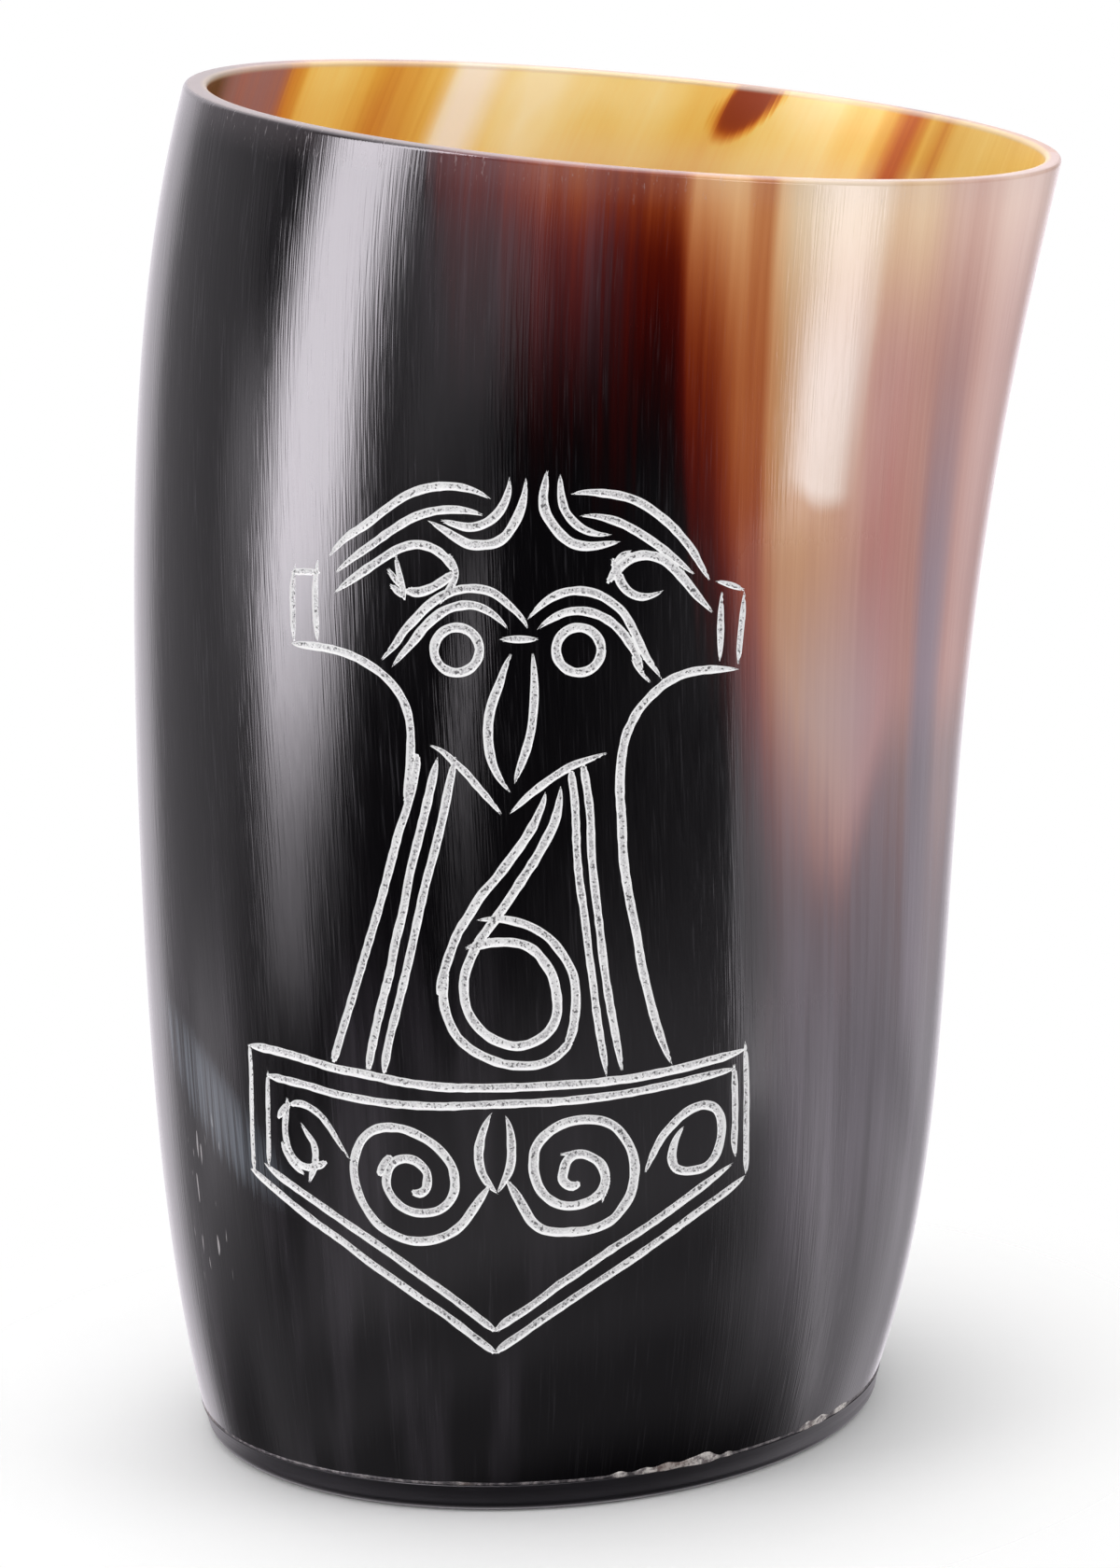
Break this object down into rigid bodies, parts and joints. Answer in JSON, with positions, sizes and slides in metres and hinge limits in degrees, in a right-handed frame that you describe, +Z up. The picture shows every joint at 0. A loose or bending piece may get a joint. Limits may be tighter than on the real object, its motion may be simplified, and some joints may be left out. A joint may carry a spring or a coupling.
{
  "type": "horn drinking cup",
  "caption": "Leaning, tapered beaker cut from a hollow horn, with a slanting oval rim and a round glued-in base plate.",
  "frame": {"origin": "centre of the base plate's underside, on the surface that the cup stands on", "axes": "+Z up out of the cup's mouth, +X towards the low side of the rim, where the horn leans, -Y towards the carved front"},
  "size_m": [0.0904, 0.0776, 0.1299],
  "materials": {
    "horn": "polished horn, near black to blond",
    "plate_horn": "satin black horn",
    "glue": "cured clear to whitish glue"
  },
  "bodies": {
    "root": {"horn_wall": "horn", "base_plate": "plate_horn", "glue_joint": "glue"}
  },
  "joints": []
}
